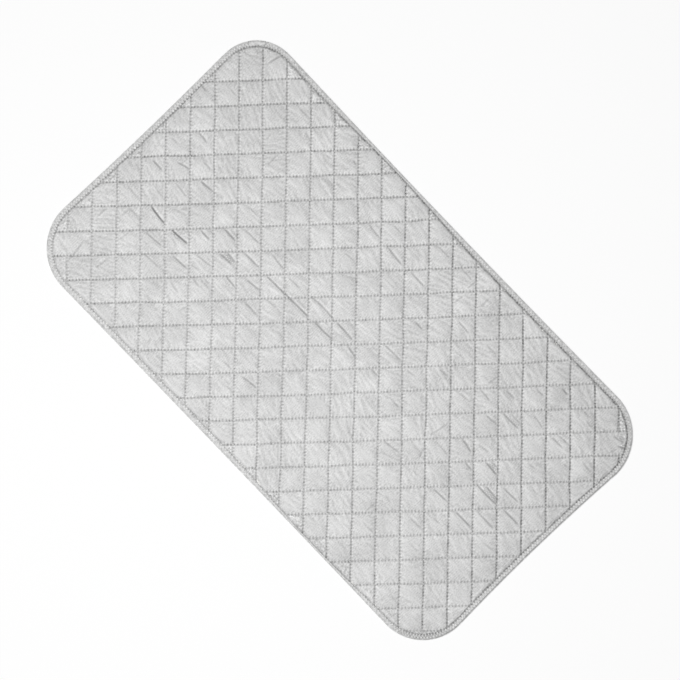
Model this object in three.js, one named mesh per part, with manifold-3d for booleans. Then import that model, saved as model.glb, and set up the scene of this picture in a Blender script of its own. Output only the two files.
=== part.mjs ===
// A quilted ironing pad, lying flat with its cover up.
// Three webs (cover, wadding, backing) are quilted together in diamonds, cut to a rounded
// rectangle and bound round the edge with folded tape. A flat magnet lies in each corner.
// Millimetres. +X runs along the length, +Y across the width and +Z up.
// The origin is on the table, under the middle of the pad.
import * as THREE from "three";
import { mergeVertices } from "three/addons/utils/BufferGeometryUtils.js";
import Module from "manifold-3d";

const wasm = await Module();
wasm.setup();

// Outline of the finished pad
const PAD_LENGTH = 850;
const PAD_WIDTH = 480;
const CORNER_RADIUS = 79;
const SIDE_DRAW_IN = 2; // how far the quilting pulls in the middle of a long side
const END_DRAW_IN = 3; // and the middle of an end

// Diamond quilting: two families of parallel seams. A seam's normal is turned by its angle, in
// degrees from +X, and its phase is the distance from the pad's middle to the nearest seam.
const SEAM_A = { pitch: 35.4, angle: 45.2, phase: -13.2 };
const SEAM_B = { pitch: 35.7, angle: -41.8, phase: 3.7 };

// The webs, measured where a seam pinches them, and how far the cover puffs up between seams
const COVER_THICKNESS = 0.4;
const WADDING_AT_SEAM = 0.6;
const BACKING_THICKNESS = 0.4;
const COVER_PUFF = 2.2;
const LAYER_GAP = 0.1;

// Sewing thread
const THREAD_DIAMETER = 0.3;
const THREAD_GAP = 0.1;

// Binding tape, folded over the edge of the three webs
const BINDING_THICKNESS = 0.7;
const BINDING_WIDTH = 9; // each leg, from the pad's edge inwards
const BINDING_STITCH_INSET = 6.8; // from the pad's edge to the row of stitches
const FOLD_ROUND = 1; // how far the fold rounds back at its top and bottom
const FOLD_ROOM = 1.2; // space in the fold, where the quilting thread turns back

// Corner magnets
const MAGNET_DIAMETER = 18;
const MAGNET_THICKNESS = 1.5;
const POCKET_GAP = 0.2;

// Facets
const CORNER_STEPS = 6;
const LONG_SIDE_STEPS = 6;
const END_STEPS = 4;
const FOLD_STEPS = 4;
const THREAD_SIDES = 4;
const THREAD_STEP = 200; // longest straight piece of a quilting thread
const MAGNET_SIDES = 16;
const SMALLEST_SCRAP = 1; // square millimetres: a smaller scrap of a diamond is trimmed off
const SMALLEST_PUFF = 10; // a scrap with less room than this round its middle lies flat
const SNAP = 1e-3;

// The webs stop short of the fold, and the quilting thread turns back in the middle of that space
const WEB_INSET = BINDING_THICKNESS + FOLD_ROOM;
const TURN_INSET = BINDING_THICKNESS + FOLD_ROOM / 2;

// A diamond rises from its seams at one slope, so the part of it under the binding stays low
const HALF_DIAMOND = Math.min(SEAM_A.pitch, SEAM_B.pitch) / 2;
const COVER_SLOPE = COVER_PUFF / HALF_DIAMOND;
const UNDER_LEG = BINDING_WIDTH - WEB_INSET;
const LEG_SHARE = UNDER_LEG / HALF_DIAMOND;

// Heights from the table up. Two crossing threads fit between each binding leg and its web.
const THREAD_ROOM = 2 * THREAD_DIAMETER + 3 * THREAD_GAP;
const BACKING_SAG_ROOM = (LAYER_GAP + BINDING_THICKNESS * LEG_SHARE) / (1 - LEG_SHARE);
const BACKING_AT_SEAM = BINDING_THICKNESS + Math.max(THREAD_ROOM, BACKING_SAG_ROOM);
const BACKING_SLOPE = -BACKING_AT_SEAM / HALF_DIAMOND;
const WADDING_LOW = BACKING_AT_SEAM + BACKING_THICKNESS + LAYER_GAP;
const WADDING_HIGH = WADDING_LOW + WADDING_AT_SEAM;
const COVER_LOW = WADDING_HIGH + LAYER_GAP;
const COVER_HIGH = COVER_LOW + COVER_THICKNESS;
const UPPER_LEG = COVER_HIGH + Math.max(THREAD_ROOM, COVER_SLOPE * UNDER_LEG + LAYER_GAP);
const BINDING_HEIGHT = UPPER_LEG + BINDING_THICKNESS;

// A stitch row sinks into a groove in the binding until it is flush
const THREAD_RADIUS = THREAD_DIAMETER / 2;
const GROOVE = THREAD_RADIUS + Math.SQRT2 * (THREAD_RADIUS + THREAD_GAP);

// A magnet lies on the backing and in a pocket cut into the wadding from below
const MAGNET_LOW =
  BACKING_AT_SEAM + BACKING_THICKNESS + LAYER_GAP +
  BACKING_SLOPE * (HALF_DIAMOND - MAGNET_DIAMETER / 2);
const POCKET_HIGH = MAGNET_LOW + MAGNET_THICKNESS + POCKET_GAP;

// The quilting pulls the sides in between the corners, a little more at the ends
function drawnIn(x, y) {
  const pull = (along, free) => 1 - Math.min(1, (along / free) ** 2);
  const endPull = END_DRAW_IN * pull(y, PAD_WIDTH / 2 - CORNER_RADIUS);
  const sidePull = SIDE_DRAW_IN * pull(x, PAD_LENGTH / 2 - CORNER_RADIUS);
  return [x * (1 - (2 * endPull) / PAD_LENGTH), y * (1 - (2 * sidePull) / PAD_WIDTH)];
}

// The rounded rectangle at some inset from the pad's edge, anticlockwise, with straight sides
function outline(inset) {
  const radius = CORNER_RADIUS - inset;
  const middles = [[1, 1], [-1, 1], [-1, -1], [1, -1]].map(([x, y]) => [
    x * (PAD_LENGTH / 2 - CORNER_RADIUS),
    y * (PAD_WIDTH / 2 - CORNER_RADIUS),
  ]);
  const onCorner = (corner, step) => {
    const turn = ((corner + step / CORNER_STEPS) * Math.PI) / 2;
    const [x, y] = middles[corner % 4];
    return new THREE.Vector2(x + radius * Math.cos(turn), y + radius * Math.sin(turn));
  };
  const points = [];
  for (let corner = 0; corner < 4; corner += 1) {
    for (let step = 0; step <= CORNER_STEPS; step += 1) {
      points.push(onCorner(corner, step));
    }
    const sideSteps = corner % 2 === 0 ? LONG_SIDE_STEPS : END_STEPS;
    for (let step = 1; step < sideSteps; step += 1) {
      points.push(
        onCorner(corner, CORNER_STEPS).lerp(onCorner(corner + 1, 0), step / sideSteps),
      );
    }
  }
  return points;
}

function seamNormal(seam) {
  const turn = THREE.MathUtils.degToRad(seam.angle);
  return new THREE.Vector2(Math.cos(turn), Math.sin(turn));
}

// The numbers of the seams of one family that cross a ring
function seamNumbers(seam, ring) {
  const normal = seamNormal(seam);
  const places = ring.map((point) => (normal.dot(point) - seam.phase) / seam.pitch);
  const numbers = [];
  for (let number = Math.ceil(Math.min(...places)); number < Math.max(...places); number += 1) {
    numbers.push(number);
  }
  return numbers;
}

// Where seam number a of the first family crosses seam number b of the second
function crossing(a, b) {
  const normalA = seamNormal(SEAM_A);
  const normalB = seamNormal(SEAM_B);
  const alongA = SEAM_A.phase + a * SEAM_A.pitch;
  const alongB = SEAM_B.phase + b * SEAM_B.pitch;
  const scale = normalA.cross(normalB);
  return new THREE.Vector2(
    (alongA * normalB.y - alongB * normalA.y) / scale,
    (alongB * normalA.x - alongA * normalB.x) / scale,
  );
}

// The part of a polygon that lies inside a ring
function clipped(polygon, ring) {
  let kept = polygon;
  ring.forEach((start, index) => {
    const edge = ring[(index + 1) % ring.length].clone().sub(start);
    const side = kept.map((point) => edge.cross(point.clone().sub(start)));
    const inside = [];
    kept.forEach((point, at) => {
      const next = (at + 1) % kept.length;
      if (side[at] >= 0) {
        inside.push(point);
      }
      if (side[at] * side[next] < 0) {
        inside.push(point.clone().lerp(kept[next], side[at] / (side[at] - side[next])));
      }
    });
    kept = inside;
  });
  return kept;
}

// The middle of a polygon's area
function middleOf(polygon, area) {
  const middle = new THREE.Vector2();
  polygon.forEach((from, index) => {
    const to = polygon[(index + 1) % polygon.length];
    middle.addScaledVector(from.clone().add(to), from.cross(to) / (6 * area));
  });
  return middle;
}

function distanceToEdge(point, from, to) {
  const edge = to.clone().sub(from);
  return Math.abs(edge.cross(point.clone().sub(from))) / edge.length();
}

// The diamonds between the seams, trimmed to the webs' outline. Each one has its corners,
// the point where it is puffed up most, and that point's distance from the nearest seam.
function quiltDiamonds() {
  const ring = outline(WEB_INSET);
  const rowsA = seamNumbers(SEAM_A, ring);
  const rowsB = seamNumbers(SEAM_B, ring);
  const slant = Math.abs(seamNormal(SEAM_A).cross(seamNormal(SEAM_B)));
  const wholeArea = (SEAM_A.pitch * SEAM_B.pitch) / slant;
  const diamonds = [];
  for (let a = rowsA[0] - 1; a <= rowsA[rowsA.length - 1]; a += 1) {
    for (let b = rowsB[0] - 1; b <= rowsB[rowsB.length - 1]; b += 1) {
      const square = [crossing(a, b), crossing(a, b + 1), crossing(a + 1, b + 1), crossing(a + 1, b)];
      if (THREE.ShapeUtils.area(square) < 0) {
        square.reverse();
      }
      const corners = clipped(square, ring).map(
        (point) => point.set(Math.round(point.x / SNAP) * SNAP, Math.round(point.y / SNAP) * SNAP),
      );
      const area = corners.length > 2 ? THREE.ShapeUtils.area(corners) : 0;
      if (area > SMALLEST_SCRAP) {
        const top = middleOf(corners, area);
        const clearances = corners.map((point, index) =>
          distanceToEdge(top, point, corners[(index + 1) % corners.length]),
        );
        diamonds.push({
          corners,
          top,
          clearance: Math.min(...clearances, HALF_DIAMOND),
          whole: corners.length === 4 && area > wholeArea - SMALLEST_SCRAP,
        });
      }
    }
  }
  return diamonds;
}

// Triangles given as corner points, drawn in with the pad and joined into one closed surface
function closedSurface(triangles) {
  const numbers = [];
  triangles.flat().forEach((point) => {
    numbers.push(...drawnIn(point.x, point.y), point.z);
  });
  const geometry = new THREE.BufferGeometry();
  geometry.setAttribute("position", new THREE.Float32BufferAttribute(numbers, 3));
  return mergeVertices(geometry, SNAP / 10);
}

const atHeight = (point, height) => new THREE.Vector3(point.x, point.y, height);

// A quilted web. Its lower and upper faces each have a height at the seams and a slope from there.
function quiltedWeb(diamonds, lower, upper) {
  const triangles = [];
  const rim = new Map();
  const name = (from, to) => `${from.x} ${from.y} ${to.x} ${to.y}`;
  const low = (point) => atHeight(point, lower.seam);
  const high = (point) => atHeight(point, upper.seam);
  diamonds.forEach(({ corners, top, clearance }) => {
    const puffed = clearance > SMALLEST_PUFF;
    const lowTop = puffed ? atHeight(top, lower.seam + lower.slope * clearance) : low(corners[0]);
    const highTop = puffed ? atHeight(top, upper.seam + upper.slope * clearance) : high(corners[0]);
    corners.forEach((from, index) => {
      const to = corners[(index + 1) % corners.length];
      if (puffed || (from !== corners[0] && to !== corners[0])) {
        triangles.push([high(from), high(to), highTop], [low(to), low(from), lowTop]);
      }
      if (!rim.delete(name(to, from))) {
        rim.set(name(from, to), [low(from), low(to), high(to), high(from)]);
      }
    });
  });
  rim.forEach(([a, b, c, d]) => triangles.push([a, b, c], [a, c, d]));
  return closedSurface(triangles);
}

// Rows of points joined by facets, row to row. Each row is a closed loop.
function joinedRows(rows, closed) {
  const triangles = [];
  const last = rows.length - (closed ? 0 : 1);
  for (let row = 0; row < last; row += 1) {
    const here = rows[row];
    const there = rows[(row + 1) % rows.length];
    here.forEach((point, index) => {
      const next = (index + 1) % here.length;
      triangles.push([point, here[next], there[next]], [point, there[next], there[index]]);
    });
  }
  return triangles;
}

// A section of inset and height points carried once round the pad's edge
function aroundEdge(section) {
  const rows = section.map(([inset, height]) => outline(inset).map((point) => atHeight(point, height)));
  return closedSurface(joinedRows(rows, true));
}

function bindingTape() {
  const section = [];
  for (let step = 0; step <= FOLD_STEPS; step += 1) {
    const turn = Math.PI * (step / FOLD_STEPS - 0.5);
    section.push([FOLD_ROUND * (1 - Math.cos(turn)), (BINDING_HEIGHT / 2) * (1 + Math.sin(turn))]);
  }
  section.push(
    [BINDING_STITCH_INSET - GROOVE, BINDING_HEIGHT],
    [BINDING_STITCH_INSET, BINDING_HEIGHT - GROOVE],
    [BINDING_STITCH_INSET + GROOVE, BINDING_HEIGHT],
    [BINDING_WIDTH, BINDING_HEIGHT],
    [BINDING_WIDTH, UPPER_LEG],
    [BINDING_THICKNESS, UPPER_LEG],
    [BINDING_THICKNESS, BINDING_THICKNESS],
    [BINDING_WIDTH, BINDING_THICKNESS],
    [BINDING_WIDTH, 0],
    [BINDING_STITCH_INSET + GROOVE, 0],
    [BINDING_STITCH_INSET, GROOVE],
    [BINDING_STITCH_INSET - GROOVE, 0],
  );
  return aroundEdge(section);
}

function bindingStitches(height) {
  const section = [];
  for (let side = 0; side < THREAD_SIDES; side += 1) {
    const turn = (-2 * Math.PI * side) / THREAD_SIDES;
    section.push([
      BINDING_STITCH_INSET + THREAD_RADIUS * Math.cos(turn),
      height + THREAD_RADIUS * Math.sin(turn),
    ]);
  }
  return aroundEdge(section);
}

// The two places where a seam meets a ring, in order along the seam
function seamEnds(seam, number, ring) {
  const normal = seamNormal(seam);
  const along = new THREE.Vector2(-normal.y, normal.x);
  const offset = (point) => normal.dot(point) - seam.phase - number * seam.pitch;
  const ends = [];
  ring.forEach((from, edge) => {
    const to = ring[(edge + 1) % ring.length];
    if (offset(from) < 0 !== offset(to) < 0) {
      const point = from.clone().lerp(to, offset(from) / (offset(from) - offset(to)));
      ends.push({ point, edge });
    }
  });
  return ends.sort((one, other) => along.dot(one.point) - along.dot(other.point));
}

// The corners of a ring between two places on it, by the shorter way round
function ringBetween(ring, start, end) {
  const count = ring.length;
  const forward = (end.edge - start.edge + count) % count;
  const backward = (start.edge - end.edge + count) % count;
  const steps = Math.min(forward, backward);
  return Array.from({ length: steps }, (_, step) =>
    forward <= backward ? ring[(start.edge + 1 + step) % count] : ring[(start.edge - step + count) % count],
  );
}

// One family of seams is one thread that runs to and fro and turns back in the binding's fold
function quiltingThread(seam, height) {
  const ring = outline(TURN_INSET);
  const runs = seamNumbers(seam, ring)
    .map((number) => seamEnds(seam, number, ring))
    .filter(([one, other]) => one.point.distanceTo(other.point) > HALF_DIAMOND);
  const path = [];
  let last = null;
  runs.forEach((ends, index) => {
    const [start, end] = index % 2 === 0 ? ends : [ends[1], ends[0]];
    const turn = last ? ringBetween(ring, last, start) : [];
    path.push(
      ...turn.filter(
        (point) => Math.min(point.distanceTo(last.point), point.distanceTo(start.point)) > FOLD_ROOM,
      ),
    );
    const steps = Math.ceil(start.point.distanceTo(end.point) / THREAD_STEP);
    for (let step = 0; step <= steps; step += 1) {
      path.push(start.point.clone().lerp(end.point, step / steps));
    }
    last = end;
  });
  return strand(path, height);
}

// A round thread laid level along a path of straight runs, mitred where it turns
function strand(path, height) {
  const directions = path.slice(1).map((point, index) => point.clone().sub(path[index]).normalize());
  const rows = path.map((point, index) => {
    const before = directions[Math.max(0, index - 1)];
    const after = directions[Math.min(directions.length - 1, index)];
    const tangent = before.clone().add(after).normalize();
    const mitre = 1 / tangent.dot(before);
    const aside = new THREE.Vector2(-tangent.y, tangent.x).multiplyScalar(mitre);
    return Array.from({ length: THREAD_SIDES }, (_, side) => {
      const turn = (2 * Math.PI * side) / THREAD_SIDES;
      const place = point.clone().addScaledVector(aside, THREAD_RADIUS * Math.cos(turn));
      return atHeight(place, height + THREAD_RADIUS * Math.sin(turn));
    });
  });
  const triangles = joinedRows(rows, false);
  const ends = [rows[0].toReversed(), rows[rows.length - 1]];
  ends.forEach((row) => {
    for (let side = 2; side < THREAD_SIDES; side += 1) {
      triangles.push([row[0], row[side - 1], row[side]]);
    }
  });
  return closedSurface(triangles);
}

function disc(diameter, low, high) {
  const geometry = new THREE.CylinderGeometry(diameter / 2, diameter / 2, high - low, MAGNET_SIDES);
  return geometry.rotateX(Math.PI / 2).translate(0, 0, (low + high) / 2);
}

function toSolid(geometry) {
  const bare = new THREE.BufferGeometry();
  bare.setAttribute("position", geometry.getAttribute("position"));
  bare.setIndex(geometry.getIndex());
  const merged = mergeVertices(bare, SNAP / 10);
  return new wasm.Manifold(
    new wasm.Mesh({
      numProp: 3,
      vertProperties: Float32Array.from(merged.getAttribute("position").array),
      triVerts: Uint32Array.from(merged.getIndex().array),
    }),
  );
}

function toGeometry(solid) {
  const { vertProperties, triVerts } = solid.getMesh();
  const geometry = new THREE.BufferGeometry();
  geometry.setAttribute("position", new THREE.BufferAttribute(vertProperties, 3));
  geometry.setIndex(new THREE.BufferAttribute(triVerts, 1));
  return geometry;
}

// A magnet lies in the whole diamond nearest to each corner of the pad
function magnetPlaces(diamonds) {
  const whole = diamonds.filter((diamond) => diamond.whole);
  return [[-1, -1], [1, -1], [1, 1], [-1, 1]].map(([x, y]) => {
    const corner = new THREE.Vector2((x * PAD_LENGTH) / 2, (y * PAD_WIDTH) / 2);
    const nearest = whole.reduce((best, diamond) =>
      diamond.top.distanceTo(corner) < best.top.distanceTo(corner) ? diamond : best,
    );
    return drawnIn(nearest.top.x, nearest.top.y);
  });
}

const pad = new THREE.Group();
pad.name = "ironing_pad";

function add(name, geometry, colour, roughness, metalness) {
  const flat = geometry.toNonIndexed();
  flat.computeVertexNormals();
  const material = new THREE.MeshStandardMaterial({ color: colour, roughness, metalness });
  const mesh = new THREE.Mesh(flat, material);
  mesh.name = name;
  pad.add(mesh);
}

const diamonds = quiltDiamonds();
const places = magnetPlaces(diamonds);

const cover = quiltedWeb(
  diamonds,
  { seam: COVER_LOW, slope: COVER_SLOPE },
  { seam: COVER_HIGH, slope: COVER_SLOPE },
);
add("cover_fabric", cover, "#cccccb", 0.55, 0.2);

const pockets = places.map(([x, y]) =>
  toSolid(disc(MAGNET_DIAMETER + 2 * POCKET_GAP, 0, POCKET_HIGH).translate(x, y, 0)),
);
const wadding = quiltedWeb(
  diamonds,
  { seam: WADDING_LOW, slope: BACKING_SLOPE },
  { seam: WADDING_HIGH, slope: COVER_SLOPE },
);
const cutWadding = pockets.reduce((solid, pocket) => solid.subtract(pocket), toSolid(wadding));
add("wadding", toGeometry(cutWadding), "#f1f0ec", 0.95, 0);

const backing = quiltedWeb(
  diamonds,
  { seam: BACKING_AT_SEAM, slope: BACKING_SLOPE },
  { seam: BACKING_AT_SEAM + BACKING_THICKNESS, slope: BACKING_SLOPE },
);
add("backing_fabric", backing, "#d9d8d4", 0.85, 0);

add("edge_binding", bindingTape(), "#c4c4c3", 0.7, 0.1);
add("binding_needle_thread", bindingStitches(BINDING_HEIGHT - THREAD_RADIUS), "#dededc", 0.6, 0);
add("binding_bobbin_thread", bindingStitches(THREAD_RADIUS), "#dededc", 0.6, 0);

const nearWeb = THREAD_GAP + THREAD_RADIUS;
const overFirst = nearWeb + THREAD_DIAMETER + THREAD_GAP;
add("quilting_needle_thread_a", quiltingThread(SEAM_A, COVER_HIGH + nearWeb), "#d6d6d5", 0.5, 0);
add("quilting_needle_thread_b", quiltingThread(SEAM_B, COVER_HIGH + overFirst), "#d6d6d5", 0.5, 0);
add("quilting_bobbin_thread_a", quiltingThread(SEAM_A, BACKING_AT_SEAM - nearWeb), "#e4e3df", 0.5, 0);
add("quilting_bobbin_thread_b", quiltingThread(SEAM_B, BACKING_AT_SEAM - overFirst), "#e4e3df", 0.5, 0);

places.forEach(([x, y], index) => {
  const magnet = disc(MAGNET_DIAMETER, MAGNET_LOW, MAGNET_LOW + MAGNET_THICKNESS).translate(x, y, 0);
  add(`corner_magnet_${index + 1}`, magnet, "#55565a", 0.45, 0.8);
});

export default pad;
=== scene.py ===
import math

import bpy
import numpy as np
from mathutils.kdtree import KDTree
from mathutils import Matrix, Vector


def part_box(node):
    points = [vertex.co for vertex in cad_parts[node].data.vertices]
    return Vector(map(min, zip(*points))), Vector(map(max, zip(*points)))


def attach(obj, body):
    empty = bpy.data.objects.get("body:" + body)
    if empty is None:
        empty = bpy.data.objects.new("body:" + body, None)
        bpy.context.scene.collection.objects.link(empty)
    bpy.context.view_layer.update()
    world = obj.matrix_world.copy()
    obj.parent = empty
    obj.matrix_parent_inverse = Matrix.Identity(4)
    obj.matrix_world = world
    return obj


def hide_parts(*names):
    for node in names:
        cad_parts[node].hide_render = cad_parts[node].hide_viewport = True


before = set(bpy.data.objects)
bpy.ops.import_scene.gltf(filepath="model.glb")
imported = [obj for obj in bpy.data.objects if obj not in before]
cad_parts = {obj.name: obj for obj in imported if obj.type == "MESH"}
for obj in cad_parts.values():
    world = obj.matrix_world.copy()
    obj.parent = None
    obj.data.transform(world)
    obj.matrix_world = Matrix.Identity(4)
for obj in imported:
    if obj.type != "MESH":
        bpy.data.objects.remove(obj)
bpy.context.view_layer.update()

# Backing web: a plain, pale cotton weave on the underside, quilted through with the other webs.
# The wadding presses each diamond of it down on the table, where it lies flat in its middle.
# Its cut edge ends inside the fold of the binding.
PAD_LENGTH, PAD_WIDTH = 0.850, 0.480
CORNER_RADII = {(1, 1): 0.0819, (-1, 1): 0.0667, (-1, -1): 0.0823, (1, -1): 0.0761}
CORNER_ROOM = 0.079  # the straight run of a side ends this far from the corner
END_DRAW_IN = (0.0020, 0.0038)  # at the -X end and at the +X end
SIDE_DRAW_IN = (0.0010, 0.0026)  # along the -Y side and along the +Y side
SEAM_A = (0.0354, math.radians(45.2), -0.0129)  # pitch, turn of its normal from +X, phase
SEAM_B = (0.0357, math.radians(-41.8), 0.0037)
SEAM_REACH = 13  # seam numbers run from minus this to plus this
SEAM_KINK = 0.0005  # how far a crossing strays
SEAM_RUN_OFF = 0.0025  # the first family leaves its even spacing by this much at the pad's ends
SEAM_FAN = 0.0010  # each family spreads this much towards one side
SEAM_BOW = 0.0014  # and bows this much in the middle of the pad
WEB_INSET = 0.0019  # from the pad's edge to the webs' cut edge
BINDING_HOLD = 0.0088  # the binding presses the webs flat as far in as this
BINDING_EASE = 0.0065  # and they reach their full height this much further in
BACKING_AT_SEAM = 0.0016
BACKING_STEPS = 10  # faces along one side of a diamond
BACKING_YARN = 0.0011  # from one yarn over to the next
RIPPLE = 0.00008  # height of the fine ripples beside the seams
FLAT_MIDDLE = 1.3  # over 1, so that the middle of a diamond lies flat
DOME_POWER = 0.6  # the lower, the fuller a diamond

crossing_kinks = np.random.default_rng(11).normal(
    0, SEAM_KINK, (2 * SEAM_REACH + 2, 2 * SEAM_REACH + 2, 2)
)


def smooth_step(value, low, high):
    t = np.clip((value - low) / (high - low), 0, 1)
    return t * t * (3 - 2 * t)


def draw_in_factors(x, y):
    """How much the quilting pulls the sides in between the corners."""
    along_end = 1 - np.minimum(1, (y / (PAD_WIDTH / 2 - CORNER_ROOM)) ** 2)
    along_side = 1 - np.minimum(1, (x / (PAD_LENGTH / 2 - CORNER_ROOM)) ** 2)
    end = np.where(x > 0, END_DRAW_IN[1], END_DRAW_IN[0]) * along_end
    side = np.where(y > 0, SIDE_DRAW_IN[1], SIDE_DRAW_IN[0]) * along_side
    return 1 - 2 * end / PAD_LENGTH, 1 - 2 * side / PAD_WIDTH


def crossing(along_a, along_b):
    """Where a line across the first family's normal meets one across the second's."""
    turn_a, turn_b = SEAM_A[1], SEAM_B[1]
    slant = math.sin(turn_b - turn_a)
    x = (along_a * math.sin(turn_b) - along_b * math.sin(turn_a)) / slant
    return x, (along_b * math.cos(turn_a) - along_a * math.cos(turn_b)) / slant


def quilt_point(u, v):
    """Where seam u of the first family crosses seam v of the second, as sewn by hand and eye."""
    along_a, along_b = SEAM_A[2] + u * SEAM_A[0], SEAM_B[2] + v * SEAM_B[0]
    x, y = crossing(along_a, along_b)
    to_end, to_side = 2 * x / PAD_LENGTH, 2 * y / PAD_WIDTH
    along_a = along_a + SEAM_RUN_OFF * to_end**3 + SEAM_FAN * to_side + SEAM_BOW * (0.5 - to_side**2)
    along_b = along_b + SEAM_FAN * to_end + SEAM_BOW * (1 - to_end**2 - to_side**2)
    x, y = crossing(along_a, along_b)
    row, column = np.floor(u).astype(int), np.floor(v).astype(int)
    for near_u in (0, 1):
        for near_v in (0, 1):
            share_u = u - row if near_u else 1 - (u - row)
            share_v = v - column if near_v else 1 - (v - column)
            kink = crossing_kinks[row + SEAM_REACH + near_u, column + SEAM_REACH + near_v]
            x = x + share_u * share_v * kink[..., 0]
            y = y + share_u * share_v * kink[..., 1]
    return x, y


def inset_from_edge(x, y):
    """How far inside the pad's edge a point lies."""
    pull_x, pull_y = draw_in_factors(x, y)
    x, y = x / pull_x, y / pull_y
    radius = np.where(
        x > 0,
        np.where(y > 0, CORNER_RADII[1, 1], CORNER_RADII[1, -1]),
        np.where(y > 0, CORNER_RADII[-1, 1], CORNER_RADII[-1, -1]),
    )
    over_x = np.abs(x) - (PAD_LENGTH / 2 - radius)
    over_y = np.abs(y) - (PAD_WIDTH / 2 - radius)
    round_part = np.hypot(np.maximum(over_x, 0), np.maximum(over_y, 0))
    return radius - round_part - np.minimum(np.maximum(over_x, over_y), 0)


def outward(x, y):
    """The direction straight out to the pad's edge."""
    step = 1e-4
    dx = inset_from_edge(x - step, y) - inset_from_edge(x + step, y)
    dy = inset_from_edge(x, y - step) - inset_from_edge(x, y + step)
    length = np.hypot(dx, dy) + 1e-12
    return dx / length, dy / length


def read(items, name, width=1, kind=float):
    """One property of all items, as rows of numbers."""
    values = np.zeros(len(items) * width, kind)
    items.foreach_get(name, values)
    return values.reshape(-1, width)


def points_of(piece):
    return read(piece.data.vertices, "co", 3)


def set_points(piece, points):
    piece.data.vertices.foreach_set("co", np.asarray(points, np.float32).ravel())
    piece.data.update()


def delete_points(piece, unwanted):
    """Deletes the chosen points in edit mode, and the loose edges that are left."""
    bpy.ops.object.mode_set(mode="EDIT")
    bpy.ops.mesh.select_mode(type="VERT")
    bpy.ops.mesh.select_all(action="DESELECT")
    bpy.ops.object.mode_set(mode="OBJECT")
    piece.data.vertices.foreach_set("select", np.asarray(unwanted, bool))
    bpy.ops.object.mode_set(mode="EDIT")
    bpy.ops.mesh.delete(type="VERT")
    bpy.ops.mesh.select_all(action="SELECT")
    bpy.ops.mesh.delete_loose()
    bpy.ops.object.mode_set(mode="OBJECT")


def face_outward():
    """Turns the faces of the active piece outward."""
    bpy.ops.object.mode_set(mode="EDIT")
    bpy.ops.mesh.select_all(action="SELECT")
    bpy.ops.mesh.normals_make_consistent(inside=False)
    bpy.ops.object.mode_set(mode="OBJECT")


def rim_points(piece):
    """The numbers of the points on a mesh's open rim."""
    mesh = piece.data
    uses = np.bincount(read(mesh.loops, "edge_index", kind=int)[:, 0], minlength=len(mesh.edges))
    return np.unique(read(mesh.edges, "vertices", 2, int)[uses == 1])


def set_uv(piece, name, across, along):
    """A UV map from two numbers per point."""
    mesh = piece.data
    layer = mesh.uv_layers.active or mesh.uv_layers.new()
    layer.name = name
    corners = read(mesh.loops, "vertex_index", kind=int)[:, 0]
    pairs = np.stack([across[corners], along[corners]], 1)
    layer.data.foreach_set("uv", pairs.astype(np.float32).ravel())


def quilted_web(name, steps):
    """A flat web cut to the pad's outline, meshed so that the seams run along its edges.
    Returns it with the seam numbers of its points."""
    bpy.ops.object.select_all(action="DESELECT")
    count = 2 * SEAM_REACH * steps
    bpy.ops.mesh.primitive_grid_add(x_subdivisions=count, y_subdivisions=count, size=2 * SEAM_REACH)
    web = bpy.context.object
    web.name = web.data.name = name
    numbers = np.round(points_of(web) * steps) / steps
    inside = np.abs(numbers).max(1) < SEAM_REACH - 0.01
    x, y = quilt_point(numbers[:, 0] * inside, -numbers[:, 1] * inside)
    delete_points(web, ~inside | (inset_from_edge(x, y) < WEB_INSET))
    numbers = np.round(points_of(web) * steps) / steps
    u, v = numbers[:, 0], -numbers[:, 1]
    x, y = quilt_point(u, v)
    rim = rim_points(web)
    reach = inset_from_edge(x[rim], y[rim]) - WEB_INSET
    out_x, out_y = outward(x[rim], y[rim])
    x[rim] += reach * out_x
    y[rim] += reach * out_y
    set_points(web, np.stack([x, y, np.zeros_like(x)], 1))
    set_uv(web, "quilt", u, v)
    bpy.ops.object.shade_smooth()
    return web, u, v


def dome(u, v):
    """0 on a seam, 1 in the middle of a diamond, and round in between."""
    across = 1 - (2 * (u - np.floor(u)) - 1) ** 2
    along = 1 - (2 * (v - np.floor(v)) - 1) ** 2
    return (across * along) ** DOME_POWER


def clear_of_binding(inset):
    """0 under the binding and 1 well inside it."""
    return smooth_step(inset, BINDING_HOLD, BINDING_HOLD + BINDING_EASE)


def finished(piece, body_slot, *nodes):
    """Ties a piece to the pad and hides the CAD nodes that it stands for. The body slot is not used."""
    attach(piece, "root")
    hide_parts(*nodes)


def new_group(name, inputs, outputs):
    """An empty shader node group with named number sockets, and a vector socket to place it."""
    group = bpy.data.node_groups.new(name, "ShaderNodeTree")
    group.interface.new_socket("Vector", in_out="INPUT", socket_type="NodeSocketVector")
    for label in inputs:
        group.interface.new_socket(label, in_out="INPUT", socket_type="NodeSocketFloat")
    for label in outputs:
        group.interface.new_socket(label, in_out="OUTPUT", socket_type="NodeSocketFloat")
    return group, group.nodes.new("NodeGroupInput"), group.nodes.new("NodeGroupOutput")


def joined(value, socket):
    """Feeds a socket from a number or from another node's socket."""
    if isinstance(value, bpy.types.NodeSocket):
        socket.id_data.links.new(value, socket)
    else:
        socket.default_value = value


def maths(operation, *values):
    """Arithmetic on numbers and sockets, in the node tree of the first socket."""
    tree = next(value.id_data for value in values if isinstance(value, bpy.types.NodeSocket))
    node = tree.nodes.new("ShaderNodeMath")
    node.operation = operation
    for value, socket in zip(values, node.inputs):
        joined(value, socket)
    return node.outputs[0]


def times(first, second):
    return maths("MULTIPLY", first, second)


def times_plus(value, gain, base):
    return maths("MULTIPLY_ADD", value, gain, base)


def apart(first, second):
    return maths("ABSOLUTE", maths("SUBTRACT", first, second))


def distance(across, along):
    return maths("SQRT", times_plus(across, across, times(along, along)))


def layered(base, *layers):
    """Adds each layer times its gain."""
    for layer, gain in layers:
        base = times_plus(layer, gain, base)
    return base


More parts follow.
